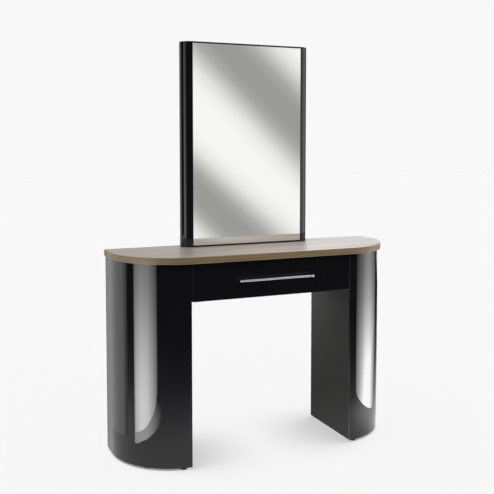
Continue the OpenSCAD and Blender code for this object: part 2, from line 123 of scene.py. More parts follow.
def span(tree, fac, low, high, from_low=0.0, from_high=1.0):
    """The factor remapped to low..high."""
    node = tree.nodes.new("ShaderNodeMapRange")
    node.inputs["From Min"].default_value = from_low
    node.inputs["From Max"].default_value = from_high
    node.inputs["To Min"].default_value = low
    node.inputs["To Max"].default_value = high
    tree.links.new(fac, node.inputs["Value"])
    return node.outputs["Result"]


def math_node(tree, operation, a, b=None):
    node = tree.nodes.new("ShaderNodeMath")
    node.operation = operation
    for socket, value in zip(node.inputs, (a, b)):
        if value is None:
            continue
        if isinstance(value, (int, float)):
            socket.default_value = value
        else:
            tree.links.new(value, socket)
    return node.outputs["Value"]


def blend_colours(tree, fac, a, b, mode="MIX"):
    node = tree.nodes.new("ShaderNodeMix")
    node.data_type = "RGBA"
    node.blend_type = mode
    for socket, value in ((node.inputs[0], fac), (node.inputs[6], a), (node.inputs[7], b)):
        if isinstance(value, (int, float)):
            socket.default_value = value
        elif isinstance(value, tuple):
            socket.default_value = (*value, 1)
        else:
            tree.links.new(value, socket)
    return node.outputs[2]


def axis_of(tree, vector, axis):
    node = tree.nodes.new("ShaderNodeSeparateXYZ")
    tree.links.new(vector, node.inputs["Vector"])
    return node.outputs[axis]


def bump(tree, shader, height, distance, strength):
    """Relief that is distance metres deep at full strength."""
    node = tree.nodes.new("ShaderNodeBump")
    node.inputs["Strength"].default_value = strength
    node.inputs["Distance"].default_value = distance
    tree.links.new(height, node.inputs["Height"])
    tree.links.new(node.outputs["Normal"], shader.inputs["Normal"])


# ------------------------------------------------------------------ finishes
def make_laminate():
    """Grey-brown oak print, grain along X, with pores and slow streaks."""
    mat, tree, shader = material("wood_laminate")
    slow = noise(tree, place(tree, (0.55, 9.0, 9.0)), 3.2, 3.0, 0.5, 0.35)
    grain = noise(tree, place(tree, (1.6, 46.0, 46.0)), 5.0, 6.0, 0.62, 0.25)
    pores = noise(tree, place(tree, (9.0, 330.0, 330.0)), 4.0, 3.0, 0.6)
    base = ramp(tree, slow, [
        (0.30, (0.198, 0.163, 0.141)), (0.52, (0.250, 0.213, 0.189)), (0.74, (0.294, 0.258, 0.232))])
    streaks = ramp(tree, grain, [(0.34, 0.80), (0.50, 1.0), (0.68, 1.10)])
    pits = ramp(tree, pores, [(0.30, 0.78), (0.44, 1.0)])
    colour = blend_colours(tree, 1.0, base, streaks, "MULTIPLY")
    colour = blend_colours(tree, 0.6, colour, pits, "MULTIPLY")
    tree.links.new(colour, shader.inputs["Base Color"])
    tree.links.new(span(tree, grain, 0.36, 0.48), shader.inputs["Roughness"])
    bump(tree, shader, pores, 0.12 * MM, 0.35)
    return mat


def make_edge_band():
    """Olive-brown wood-grain strip; the streaks run along the board, and a painted highlight makes the
    arrises paler.
    """
    mat, tree, shader = material("edge_band")
    coord = place(tree)
    height = axis_of(tree, coord, "Z")
    layers = noise(tree, place(tree, (4.0, 4.0, 320.0)), 1.0, 5.0, 0.6, 0.2)
    fibres = noise(tree, place(tree, (16.0, 16.0, 1500.0)), 1.0, 3.0, 0.6)
    tone = ramp(tree, layers, [
        (0.32, (0.218, 0.149, 0.070)), (0.5, (0.276, 0.196, 0.100)), (0.7, (0.342, 0.253, 0.137))])
    fine = ramp(tree, fibres, [(0.35, 0.82), (0.6, 1.08)])
    colour = blend_colours(tree, 1.0, tone, fine, "MULTIPLY")
    # Painted highlight: the lowest 3.5 mm and the top 2.5 mm of the band are blended toward a pale tone,
    # as if the arrises caught the light.
    above_foot = span(tree, height, 0.0, 1.0, TOP_Z0, TOP_Z0 + 3.5 * MM)
    low = ramp(tree, above_foot, [(0.0, 1.0), (0.45, 0.7), (1.0, 0.0)])
    near_top = span(tree, height, 0.0, 1.0, TOP_Z1 - 2.5 * MM, TOP_Z1)
    high = ramp(tree, near_top, [(0.0, 0.0), (1.0, 0.5)])
    painted_arris_highlight = math_node(tree, "MAXIMUM", low, high)
    colour = blend_colours(tree, painted_arris_highlight, colour, (0.42, 0.335, 0.22))
    tree.links.new(colour, shader.inputs["Base Color"])
    tree.links.new(span(tree, layers, 0.40, 0.55), shader.inputs["Roughness"])
    bump(tree, shader, fibres, 0.08 * MM, 0.3)
    return mat


def make_gloss(name, colour=(0.0088, 0.0090, 0.0118), low=0.018, high=0.05):
    """Polished black lacquer: very slow waviness, faint haze where hands and cloths pass."""
    mat, tree, shader = material(name)
    haze = noise(tree, place(tree, (1.0, 1.0, 0.6)), 5.0, 3.0, 0.5)
    dust = noise(tree, place(tree), 900.0, 2.0, 0.6)
    specks = ramp(tree, dust, [(0.70, 0.0), (0.78, 1.0)])
    paint = blend_colours(tree, specks, colour, tuple(3.0 * c for c in colour))
    tree.links.new(paint, shader.inputs["Base Color"])
    tree.links.new(span(tree, haze, low, high, 0.3, 0.7), shader.inputs["Roughness"])
    peel = noise(tree, place(tree), 26.0, 2.0, 0.45)
    bump(tree, shader, peel, 0.04 * MM, 0.5)
    shader.inputs["IOR"].default_value = 1.5
    return mat


def make_board(name, colour, spread, grain, rough, speck, relief=0.06 * MM, specular=0.5):
    """A faced or raw board: fine mottling, an optional grain, and a matt surface."""
    mat, tree, shader = material(name)
    mottle = noise(tree, place(tree), 9.0, 4.0, 0.6)
    fine = noise(tree, place(tree, (1.0, 1.0, 1.0 - 0.9 * grain)), speck, 3.0, 0.6)
    dark = tuple(c * (1 - spread) for c in colour)
    light = tuple(min(1.0, c * (1 + spread)) for c in colour)
    tone = ramp(tree, mottle, [(0.3, dark), (0.7, light)])
    dots = ramp(tree, fine, [(0.3, 1 - 1.6 * spread), (0.62, 1 + spread)])
    tree.links.new(blend_colours(tree, 0.8, tone, dots, "MULTIPLY"), shader.inputs["Base Color"])
    tree.links.new(span(tree, fine, rough[0], rough[1], 0.3, 0.7), shader.inputs["Roughness"])
    shader.inputs["Specular IOR Level"].default_value = specular
    bump(tree, shader, fine, relief, 0.5)
    return mat


def make_chip():
    """Raw particle board: flakes of different tones."""
    mat, tree, shader = material("board_core")
    cells = tree.nodes.new("ShaderNodeTexVoronoi")
    cells.inputs["Scale"].default_value = 1.0
    tree.links.new(place(tree, (260.0, 260.0, 620.0)), cells.inputs["Vector"])
    tone = axis_of(tree, cells.outputs["Color"], "X")
    colour = ramp(tree, tone, [
        (0.0, (0.26, 0.18, 0.10)), (0.5, (0.42, 0.32, 0.20)), (1.0, (0.56, 0.45, 0.30))])
    tree.links.new(colour, shader.inputs["Base Color"])
    tree.links.new(span(tree, tone, 0.7, 0.9), shader.inputs["Roughness"])
    bump(tree, shader, cells.outputs["Distance"], 0.2 * MM, 0.5)
    return mat


def make_metal(name, colour, rough, stretch=(1.0, 1.0, 1.0), scale=600.0):
    """A plated or polished metal with fine marks along the way it was finished."""
    mat, tree, shader = material(name)
    marks = noise(tree, place(tree, stretch), scale, 3.0, 0.6)
    cloud = noise(tree, place(tree), 40.0, 3.0, 0.5)
    dark = tuple(c * 0.94 for c in colour)
    tree.links.new(blend_colours(tree, cloud, dark, colour), shader.inputs["Base Color"])
    tree.links.new(span(tree, marks, rough[0], rough[1], 0.3, 0.7), shader.inputs["Roughness"])
    shader.inputs["Metallic"].default_value = 1.0
    bump(tree, shader, marks, 0.01 * MM, 0.4)
    return mat


def make_plastic(name, colour, rough=(0.35, 0.55), relief=0.05 * MM, subsurface=0.0):
    """Moulded plastic with a fine spark-eroded grain."""
    mat, tree, shader = material(name)
    pebble = noise(tree, place(tree), 1400.0, 2.0, 0.6)
    cloud = noise(tree, place(tree), 30.0, 3.0, 0.5)
    light = tuple(min(1.0, c * 1.25) for c in colour)
    tree.links.new(blend_colours(tree, cloud, colour, light), shader.inputs["Base Color"])
    tree.links.new(span(tree, cloud, rough[0], rough[1], 0.3, 0.7), shader.inputs["Roughness"])
    shader.inputs["Subsurface Weight"].default_value = subsurface
    bump(tree, shader, pebble, relief, 0.5)
    return mat


def make_painted_steel():
    """Epoxy-coated runner steel, pale grey, with rubbed patches on the tracks."""
    mat, tree, shader = material("runner_steel")
    peel = noise(tree, place(tree), 700.0, 2.0, 0.5)
    rubbed = noise(tree, place(tree, (1.0, 0.08, 1.0)), 160.0, 4.0, 0.6)
    wear = ramp(tree, rubbed, [(0.58, 0.0), (0.70, 1.0)])
    paint = blend_colours(tree, wear, (0.60, 0.61, 0.60), (0.36, 0.36, 0.37))
    tree.links.new(paint, shader.inputs["Base Color"])
    tree.links.new(span(tree, rubbed, 0.45, 0.25), shader.inputs["Roughness"])
    bump(tree, shader, peel, 0.03 * MM, 0.5)
    return mat


def make_mirror():
    """Silvered glass: neutral with a slight warm-green tint, and faint wiping marks."""
    mat, tree, shader = material("mirror")
    wipe = noise(tree, place(tree, rotation=(0.0, 0.6, 0.0)), 2.2, 4.0, 0.5, 0.4)
    smear = noise(tree, place(tree, (2.0, 1.0, 14.0), (0.0, 0.5, 0.0)), 6.0, 3.0, 0.5)
    silver = blend_colours(tree, smear, (0.905, 0.905, 0.868), (0.918, 0.918, 0.884))
    tree.links.new(silver, shader.inputs["Base Color"])
    tree.links.new(span(tree, wipe, 0.0, 0.012, 0.45, 0.75), shader.inputs["Roughness"])
    shader.inputs["Metallic"].default_value = 1.0
    return mat


MATS = {
    "board_core": make_chip(),
    "wood_laminate": make_laminate(),
    "edge_band": make_edge_band(),
    "gloss_black": make_gloss("gloss_black"),
    "matte_charcoal": make_board(
        "matte_charcoal", (0.038, 0.0375, 0.0365), 0.06, 0.5, (0.46, 0.58), 520.0, specular=0.15),
    "satin_black": make_board("satin_black", (0.014, 0.014, 0.015), 0.08, 0.5, (0.36, 0.48), 520.0),
    "raw_board": make_board("raw_board", (0.46, 0.36, 0.24), 0.12, 0.0, (0.7, 0.88), 700.0, 0.1 * MM),
    "foot_plastic": make_plastic("foot_plastic", (0.012, 0.012, 0.013)),
    "insert_brass": make_metal("insert_brass", (0.78, 0.60, 0.28), (0.22, 0.4)),
    "drawer_board": make_board("drawer_board", (0.60, 0.58, 0.54), 0.05, 0.6, (0.48, 0.6), 620.0),
    "runner_steel": make_painted_steel(),
    "roller_nylon": make_plastic("roller_nylon", (0.78, 0.76, 0.70), (0.4, 0.5), 0.03 * MM, 0.15),
    "handle_chrome": make_metal("handle_chrome", (0.80, 0.81, 0.83), (0.06, 0.11), (0.1, 1.0, 1.0), 500.0),
    "screw_steel": make_metal("screw_steel", (0.62, 0.62, 0.63), (0.28, 0.45)),
    "mirror": make_mirror(),
    "backboard": make_board("backboard", (0.020, 0.020, 0.021), 0.1, 0.2, (0.55, 0.7), 800.0),
    "rail_black": make_gloss("rail_black", (0.0045, 0.0045, 0.005), 0.10, 0.18),
}
SLOT_OF = {row["node"]: row["material_slot"] for row in frame["record"]["subparts"]}


# ------------------------------------------------------------------ mesh helpers
def finish_piece(mesh, name, nodes, body, bevel=0.0, segments=3, angle=30.0):
    """Puts a mesh in the scene in place of CAD nodes, with their finish."""
    mesh.validate()
    for polygon in mesh.polygons:
        polygon.use_smooth = True
    obj = bpy.data.objects.new(name, mesh)
    bpy.context.scene.collection.objects.link(obj)
    slot = SLOT_OF[nodes[0]]
    obj.data.materials.append(MATS[slot])
    if bevel:
        edge = obj.modifiers.new("edges", "BEVEL")
        edge.width = bevel
        edge.segments = segments
        edge.limit_method = "ANGLE"
        edge.angle_limit = math.radians(angle)
        edge.harden_normals = True
        edge.miter_outer = "MITER_ARC"
    weighted = obj.modifiers.new("normals", "WEIGHTED_NORMAL")
    weighted.keep_sharp = True
    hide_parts(*nodes)
    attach(obj, body)
    return obj


def arc_points(cx, cy, r, start, stop, steps):
    """Points on an arc, in degrees counter-clockwise from +X."""
    out = []
    for i in range(steps + 1):
        a = math.radians(start + (stop - start) * i / steps)
        out.append((cx + r * math.cos(a), cy + r * math.sin(a)))
    return out


def prism(outline, z0, z1, name, nodes, body, bevel, segments=3, angle=30.0):
    """An outline drawn counter-clockwise from above, pulled up from z0 to z1."""
    bm = bmesh.new()
    low = [bm.verts.new((x, y, z0)) for x, y in outline]
    high = [bm.verts.new((x, y, z1)) for x, y in outline]
    count = len(outline)
    for i in range(count):
        j = (i + 1) % count
        bm.faces.new((low[i], low[j], high[j], high[i]))
    bm.faces.new(list(reversed(low)))
    bm.faces.new(high)
    mesh = bpy.data.meshes.new(name)
    bm.to_mesh(mesh)
    bm.free()
    return finish_piece(mesh, name, nodes, body, bevel, segments, angle)


def ring(outline_at, profile, name, nodes, body):
    """A closed profile of (inset, z) swept round the outline that outline_at(inset) gives."""
    bm = bmesh.new()
    loops = [[bm.verts.new((x, y, z)) for x, y in outline_at(inset)] for inset, z in profile]
    count = len(loops[0])
    for a in range(len(loops)):
        b = (a + 1) % len(loops)
        for i in range(count):
            j = (i + 1) % count
            bm.faces.new((loops[a][i], loops[a][j], loops[b][j], loops[b][i]))
    bmesh.ops.recalc_face_normals(bm, faces=bm.faces)
    mesh = bpy.data.meshes.new(name)
    bm.to_mesh(mesh)
    bm.free()
    return finish_piece(mesh, name, nodes, body)


def lathe(profile, origin, axis, steps=64):
    """Turns a profile of (distance along the axis, radius) about an axis through origin."""
    bm = bmesh.new()
    along = Vector(axis).normalized()
    side = along.orthogonal().normalized()
    other = along.cross(side)
    loops = []
    for distance, radius in profile:
        centre = Vector(origin) + along * distance
        if radius <= 0:
            loops.append([bm.verts.new(centre)])
            continue
        loop = []
        for i in range(steps):
            a = 2 * math.pi * i / steps
            loop.append(bm.verts.new(centre + (side * math.cos(a) + other * math.sin(a)) * radius))
        loops.append(loop)
    for low, high in zip(loops, loops[1:]):
        for i in range(steps):
            j = (i + 1) % steps
            if len(low) == 1:
                bm.faces.new((low[0], high[j], high[i]))
            elif len(high) == 1:
                bm.faces.new((low[i], low[j], high[0]))
            else:
                bm.faces.new((low[i], low[j], high[j], high[i]))
    bmesh.ops.recalc_face_normals(bm, faces=bm.faces)
    return bm


def lathe_piece(parts, name, nodes, body):
    """One object made of turned solids, each (profile, origin, axis)."""
    whole = bpy.data.meshes.new(name)
    joined = bmesh.new()
    for profile, origin, axis in parts:
        bm = lathe(profile, origin, axis)
        piece = bpy.data.meshes.new(name + "_part")
        bm.to_mesh(piece)
        bm.free()
        joined.from_mesh(piece)
        bpy.data.meshes.remove(piece)
    joined.to_mesh(whole)
    joined.free()
    return finish_piece(whole, name, nodes, body)


# ------------------------------------------------------------------ worktop
def board_outline(inset, steps=96):
    """The worktop seen from above, moved in by inset, with round front corners."""
    half = HALF_W - inset
    front = FRONT_Y + inset
    back = BACK_Y - inset
    r = TOP_R - inset
    points = arc_points(-half + r, front + r, r, 180, 270, steps)
    points += arc_points(half - r, front + r, r, 270, 360, steps)
    points += [(half, back), (-half, back)]
    return points


ARRIS = 0.8 * MM
band_profile = [
    (BAND_T, TOP_Z0), (ARRIS, TOP_Z0), (0.3 * ARRIS, TOP_Z0 + 0.3 * ARRIS), (0, TOP_Z0 + ARRIS),
    (0, TOP_Z1 - ARRIS), (0.3 * ARRIS, TOP_Z1 - 0.3 * ARRIS), (ARRIS, TOP_Z1), (BAND_T, TOP_Z1),
]
ring(board_outline, band_profile, "worktop_edge_band_v", ["worktop_edge_band"], "station")
prism(board_outline(BAND_T + 0.05 * MM), LAM_LOW[2], LAM_HIGH[2], "worktop_laminate_v",
      ["worktop_laminate"], "station", bevel=0.12 * MM, segments=2)


# ------------------------------------------------------------------ pedestals
def shell_outline(steps=96):
    """Right-hand shell from above: front, round corner and outer side, one thickness."""
    x1, y0, y1 = SHELL_HIGH[0], SHELL_LOW[1], SHELL_HIGH[1]
    x0 = SHELL_LOW[0]
    cx, cy = x1 - SHELL_R, y0 + SHELL_R
    inner_r = SHELL_R - SHELL_T
    turn = math.degrees(math.acos((x0 - cx) / SHELL_R))
    inner_turn = math.degrees(math.acos((x0 - cx) / inner_r))
    outer = arc_points(cx, cy, SHELL_R, -turn, 0, steps)
    inner = arc_points(cx, cy, inner_r, 0, -inner_turn, steps)
    return outer + [(x1, y1), (x1 - SHELL_T, y1)] + inner


def mirrored(outline):
    """The same outline on the other side, still counter-clockwise."""
    return [(-x, y) for x, y in reversed(outline)]


for side, outline in (("right", shell_outline()), ("left", mirrored(shell_outline()))):
    prism(outline, SHELL_LOW[2], SHELL_HIGH[2], side + "_curved_shell_v",
          [side + "_curved_shell"], "station", bevel=0.6 * MM, angle=40)


# ------------------------------------------------------------------ drawer front and handle
def slab(low, high, name, nodes, body, bevel, segments=3):
    outline = [(low[0], low[1]), (high[0], low[1]), (high[0], high[1]), (low[0], high[1])]
    return prism(outline, low[2], high[2], name, nodes, body, bevel, segments)


slab(DRAWER_LOW, DRAWER_HIGH, "drawer_front_v", ["drawer_front"], "drawer", 2.0 * MM, 5)

BAR_R = (BAR_HIGH[2] - BAR_LOW[2]) / 2
BAR_Y = (BAR_LOW[1] + BAR_HIGH[1]) / 2
BAR_Z = (BAR_LOW[2] + BAR_HIGH[2]) / 2
BAR_X = BAR_HIGH[0]
CAP_X = CAP_HIGH[0]
NECK_R = BAR_R - 1.8 * MM
NECK_LEN = 4.5 * MM


def rounded_end(at, radius, fillet, out=1, steps=5):
    """Profile points of a rounded rim that ends at a distance, going outward."""
    points = []
    for i in range(steps + 1):
        a = math.pi / 2 * i / steps
        points.append((at - out * fillet * (1 - math.sin(a)), radius - fillet * (1 - math.cos(a))))
    return points


bar_profile = [(0, 0), (0, NECK_R)] + list(reversed(rounded_end(0, BAR_R, 0.5 * MM, -1)))
bar_profile += rounded_end(2 * BAR_X, BAR_R, 0.5 * MM) + [(2 * BAR_X, NECK_R), (2 * BAR_X, 0)]
lathe_piece([(bar_profile, (-BAR_X, BAR_Y, BAR_Z), (1, 0, 0))], "handle_bar_v", ["handle_bar"], "drawer")

cap_len = CAP_X - BAR_X
cap_profile = [(0, 0), (0, NECK_R), (NECK_LEN, NECK_R)]
cap_profile += list(reversed(rounded_end(NECK_LEN, BAR_R, 0.4 * MM, -1)))
cap_profile += rounded_end(cap_len, BAR_R, 1.2 * MM, 1, 7) + [(cap_len, 0)]
lathe_piece(
    [(cap_profile, (BAR_X, BAR_Y, BAR_Z), (1, 0, 0)), (cap_profile, (-BAR_X, BAR_Y, BAR_Z), (-1, 0, 0))],
    "handle_end_caps_v", ["handle_end_caps"], "drawer")

for side in ("left", "right"):
    low, high = POSTS[side]
    r = (high[0] - low[0]) / 2
    x, z = (low[0] + high[0]) / 2, (low[2] + high[2]) / 2
    length = high[1] - BAR_Y
    post = [(0, 0), (0, r * 0.9), (BAR_R * 0.7, r), (length - 3.2 * MM, r)]
    # A faint collar just in front of the drawer
    post += [(length - 2.6 * MM, r + 0.05 * MM), (length - 1.5 * MM, r), (length, r), (length, 0)]
    lathe_piece([(post, (x, BAR_Y, z), (0, 1, 0))], f"handle_{side}_post_v", [f"handle_{side}_post"],
                "drawer")


# ------------------------------------------------------------------ mirror
def post_outline(steps=40):
    """Right-hand mirror post from above: round outer front corner, rebate at the inner side."""
    x0, x1 = POST_LOW[0], POST_HIGH[0]
    y0, y1 = POST_LOW[1], POST_HIGH[1]
    depth = GLASS_HIGH[0] - x0
    rebate = [(x0 + depth, BOARD_HIGH[1]), (x0 + depth, GLASS_LOW[1]), (x0, GLASS_LOW[1])]
    curve = arc_points(x0, y0 + POST_W, POST_W, 270, 360, steps)
    return [(x0, y1), (x0, BOARD_HIGH[1])] + rebate + curve + [(x1, y1)]


for side, outline in (("right", post_outline()), ("left", mirrored(post_outline()))):
    prism(outline, POST_LOW[2], POST_HIGH[2], f"mirror_{side}_post_v",
          [f"mirror_{side}_post"], "station", bevel=0.7 * MM, angle=40)

slab(GLASS_LOW, GLASS_HIGH, "mirror_glass_v", ["mirror_glass"], "station", 0.5 * MM, 2)


# ------------------------------------------------------------------ carried-over CAD nodes
SOFT_EDGE = {
    "matte_charcoal": 0.25, "satin_black": 0.5, "raw_board": 0.4, "board_core": 0.4, "drawer_board": 0.5,
    "backboard": 0.3, "rail_black": 0.5, "foot_plastic": 0.4, "runner_steel": 0.12, "screw_steel": 0.25,
    "insert_brass": 0.2, "roller_nylon": 0.5,
}
for node, obj in frame["nodes"].items():
    slot = SLOT_OF[node]
    for holder in obj.material_slots:
        holder.link = "OBJECT"
        holder.material = MATS[slot]
    if not obj.hide_render and slot in SOFT_EDGE:
        weld = obj.modifiers.new("weld", "WELD")
        weld.merge_threshold = 0.01 * MM
        edge = obj.modifiers.new("edges", "BEVEL")
        edge.width = SOFT_EDGE[slot] * MM
        edge.segments = 2
        edge.limit_method = "ANGLE"
        edge.angle_limit = math.radians(35)
        edge.harden_normals = True


# ------------------------------------------------------------------ studio
scene = bpy.context.scene
scene.view_settings.view_transform = "Standard"
scene.view_settings.look = "None"

BACKGROUND = 0.939
DOME_LIGHT = 1.0


def emitter(name, tree_maker, corners):
    """A flat card with its own emission, which gloss alone sees."""
    mesh = bpy.data.meshes.new(name)
    mesh.from_pydata([tuple(c) for c in corners], [], [tuple(range(len(corners)))])
    obj = bpy.data.objects.new(name, mesh)
    scene.collection.objects.link(obj)
    mat = bpy.data.materials.new(name)
    mat.use_nodes = True
    tree = mat.node_tree
    tree.nodes.clear()
    out = tree.nodes.new("ShaderNodeOutputMaterial")
    glow = tree.nodes.new("ShaderNodeEmission")
    tree.links.new(glow.outputs[0], out.inputs["Surface"])
    tree_maker(tree, glow)
    mesh.materials.append(mat)
    obj.visible_camera = False
    obj.visible_diffuse = False
    obj.visible_shadow = False
    obj.visible_transmission = False
    obj.visible_volume_scatter = False


def distance_along(tree, vector, start, stop):
    """0 to 1 along the floor-plan line from start to stop."""
    dx, dy = stop[0] - start[0], stop[1] - start[1]
    size = dx * dx + dy * dy
    from_x = math_node(tree, "SUBTRACT", axis_of(tree, vector, "X"), start[0])
    from_y = math_node(tree, "SUBTRACT", axis_of(tree, vector, "Y"), start[1])
    x = math_node(tree, "MULTIPLY", from_x, dx / size)
    y = math_node(tree, "MULTIPLY", from_y, dy / size)
    return math_node(tree, "ADD", x, y)


def upright(start, stop, outline, step=0.0):
    """Corners of an upright card; the outline is (share of the way from start to stop, height)."""
    dx, dy = stop[0] - start[0], stop[1] - start[1]
    size = math.hypot(dx, dy)
    shift_x, shift_y = -dy / size * step, dx / size * step
    return [(start[0] + dx * t + shift_x, start[1] + dy * t + shift_y, z) for t, z in outline]


# Ramps across a side card reach past both its ends by this share of its width
PAST = 0.3
# The height that the ramps up a side card cover
RAMP_HEIGHT = 2.0
# Low cards end just under the worktop and light the pedestals; high ones light the mirror's posts
LOW_TOP = 0.862
HIGH_FOOT = 0.860
HIGH_TOP = 2.3


def side_card(start, stop, across, up, strength, ceiling=None):
    """Emission of a side card: a ramp across it times a ramp up it, which a third ramp may cap."""
    def stretched(stops):
        return [((at + PAST) / (1 + 2 * PAST), value) for at, value in stops]

    def build(tree, glow):
        vector = place(tree)
        t = span(tree, distance_along(tree, vector, start, stop), 0.0, 1.0, -PAST, 1 + PAST)
        height = math_node(tree, "DIVIDE", axis_of(tree, vector, "Z"), RAMP_HEIGHT)
        upward = ramp(tree, height, [(at / RAMP_HEIGHT, value) for at, value in up])
        if ceiling:
            upward = blend_colours(tree, 1.0, upward, ramp(tree, t, stretched(ceiling)), "DARKEN")
        colour = blend_colours(tree, 1.0, ramp(tree, t, stretched(across)), upward, "MULTIPLY")
        tree.links.new(colour, glow.inputs["Color"])
        glow.inputs["Strength"].default_value = strength
    return build


# The softboxes beside each pedestal, whose rounded lower corners show in the gloss
LEFT_START, LEFT_STOP = (-0.8205, -0.038), (-0.672, -0.262)
left_across = [
    (0.03, 0.30), (0.07, 0.41), (0.125, 0.64), (0.177, 0.755), (0.275, 0.86), (0.367, 0.98), (0.454, 1.0),
    (0.537, 0.99), (0.617, 0.96), (0.696, 0.87), (0.774, 0.70), (0.851, 0.575), (0.929, 0.42),
    (0.968, 0.33), (1.02, 0.22)]
left_up = [
    (0.0, 0.98), (0.12, 0.98), (0.20, 1.0), (0.31, 0.91), (0.49, 0.70), (0.67, 0.45), (0.76, 0.365),
    (0.83, 0.305), (1.0, 0.20), (2.0, 0.11)]
left_outline = [
    (0.035, 0.066), (0.08, 0.073), (0.25, 0.082), (0.38, 0.092), (0.47, 0.100), (0.58, 0.114),
    (0.70, 0.135), (0.84, 0.165), (0.91, 0.186), (0.98, 0.215), (1.015, 0.26), (1.025, 0.32),
    (1.025, LOW_TOP), (0.035, LOW_TOP)]
emitter("card_left", side_card(LEFT_START, LEFT_STOP, left_across, left_up, 13.5),
        upright(LEFT_START, LEFT_STOP, left_outline))

# The dimmer rim below the left softbox
rim_across = [
    (0.0, 0.78), (0.12, 0.82), (0.25, 0.93), (0.4, 1.0), (0.5, 1.0), (0.6, 0.99), (0.7, 0.90), (0.8, 0.70),
    (0.9, 0.54), (0.985, 0.39), (1.067, 0.26), (1.149, 0.16), (1.23, 0.05)]
rim_up = [(0.0, 1.0), (0.145, 1.0), (0.185, 0.78), (0.21, 0.38), (0.245, 0.0), (2.0, 0.0)]
rim_outline = [
    (0.03, 0.020), (0.22, 0.028), (0.43, 0.046), (0.60, 0.057), (0.75, 0.071), (0.90, 0.087),
    (1.01, 0.104), (1.10, 0.122), (1.18, 0.145), (1.23, 0.17), (1.20, 0.20), (1.10, 0.245), (0.03, 0.245)]
emitter("card_left_rim", side_card(LEFT_START, LEFT_STOP, rim_across, rim_up, 6.2),
        upright(LEFT_START, LEFT_STOP, rim_outline, -4 * MM))

RIGHT_START, RIGHT_STOP = (0.702, -0.314), (0.834, 0.072)
right_across = [
    (-0.20, 0.0), (-0.185, 0.09), (-0.155, 0.25), (-0.134, 0.30), (-0.085, 0.36), (-0.037, 0.452),
    (0.011, 0.546), (0.058, 0.625), (0.105, 0.714), (0.152, 0.822), (0.2, 0.914), (0.248, 0.99),
    (0.297, 1.0), (0.348, 0.971), (0.401, 0.932), (0.458, 0.807), (0.518, 0.682), (0.585, 0.502),
    (0.66, 0.35), (0.749, 0.235), (0.862, 0.075), (0.93, 0.02)]
right_up = [
    (0.0, 0.80), (0.10, 0.73), (0.135, 0.66), (0.20, 0.60), (0.287, 0.525), (0.38, 0.42), (0.487, 0.309),
    (0.60, 0.209), (0.69, 0.161), (0.76, 0.135), (1.0, 0.087), (2.0, 0.048)]
right_ceiling = [
    (0.08, 1.0), (0.105, 0.93), (0.2, 0.675), (0.297, 0.54), (0.401, 0.495), (0.518, 0.51), (0.585, 0.51),
    (0.66, 0.40), (0.749, 0.33), (0.862, 0.31)]
right_outline = [
    (-0.20, 0.36), (-0.19, 0.16), (-0.17, 0.122), (-0.10, 0.101), (0.02, 0.085), (0.20, 0.066),
    (0.39, 0.050), (0.54, 0.041), (0.68, 0.036), (0.80, 0.055), (0.93, 0.10), (0.93, LOW_TOP),
    (-0.20, LOW_TOP)]
emitter("card_right", side_card(RIGHT_START, RIGHT_STOP, right_across, right_up, 22.1, right_ceiling),
        upright(RIGHT_START, RIGHT_STOP, right_outline))


def high_card(start, stop, across, bottom, top):
    """Emission for the mirror posts: a ramp across the card, with one strength below and one above."""
    def build(tree, glow):
        vector = place(tree)
        colour = ramp(tree, distance_along(tree, vector, start, stop), across)
        tree.links.new(colour, glow.inputs["Color"])
        strength = span(tree, axis_of(tree, vector, "Z"), bottom, top, 0.95, 2.0)
        tree.links.new(strength, glow.inputs["Strength"])
    return build


HIGH_OUTLINE = [(0, HIGH_FOOT), (1, HIGH_FOOT), (1, HIGH_TOP), (0, HIGH_TOP)]
LEFT_HIGH = ((-0.735, -0.17), (-0.935, 0.13))
RIGHT_HIGH = ((0.643, -0.488), (0.913, 0.304))
left_high_across = [(0.0, 0.15), (0.2, 0.42), (0.45, 0.78), (0.72, 1.0), (1.0, 0.75)]
right_high_across = [
    (0.0, 0.45), (0.22, 0.62), (0.42, 0.80), (0.56, 1.0), (0.65, 0.75), (0.82, 0.42), (1.0, 0.35)]
emitter("card_left_high", high_card(*LEFT_HIGH, left_high_across, 2.5, 1.15),
        upright(*LEFT_HIGH, HIGH_OUTLINE))
emitter("card_right_high", high_card(*RIGHT_HIGH, right_high_across, 2.1, 1.8),
        upright(*RIGHT_HIGH, HIGH_OUTLINE))


def tail_glow(tree, glow):
    """Dim wall that runs round the left pedestal's outer back; its brightness changes along Y."""
    y = axis_of(tree, place(tree), "Y")
    colour = ramp(tree, y, [
        (0.04, 0.0), (0.085, 0.42), (0.15, 0.90), (0.23, 0.80), (0.33, 0.70), (0.42, 0.52), (0.53, 0.25)],
        "EASE")
    tree.links.new(colour, glow.inputs["Color"])
    glow.inputs["Strength"].default_value = 1.45


TAIL = [(-0.896, 0.070), (-0.86, 0.20), (-0.80, 0.31), (-0.72, 0.40), (-0.60, 0.47), (-0.40, 0.53)]
TAIL_OUTLINE = [(0, 0.02), (1, 0.02), (1, 0.885), (0, 0.885)]
for k, (start, stop) in enumerate(zip(TAIL, TAIL[1:])):
    emitter(f"card_tail_{k}", tail_glow, upright(start, stop, TAIL_OUTLINE))


def wall_glow(tree, glow):
    """Broad white wall behind, seen as sheen on the worktop and along the outer edges."""
    x = math_node(tree, "DIVIDE", axis_of(tree, place(tree), "X"), 4.0)
    colour = ramp(tree, x, [
        (0.05, 0.42), (0.22, 0.50), (0.40, 0.92), (0.55, 1.0), (0.72, 0.9), (0.90, 0.42)])
    tree.links.new(colour, glow.inputs["Color"])
    glow.inputs["Strength"].default_value = 2.2


def ceiling_glow(tree, glow):
    """An even softbox above and in front."""
    glow.inputs["Color"].default_value = (1, 1, 1, 1)
    glow.inputs["Strength"].default_value = 1.4


emitter("wall_back", wall_glow, [(-4.5, 3.2, 0), (5.5, 3.2, 0), (5.5, 3.2, 3.2), (-4.5, 3.2, 3.2)])
emitter("card_above", ceiling_glow, [
    (-1.6, -1.9, 2.6), (1.6, -1.9, 2.6), (1.6, -1.1, 2.8), (-1.6, -1.1, 2.8)])


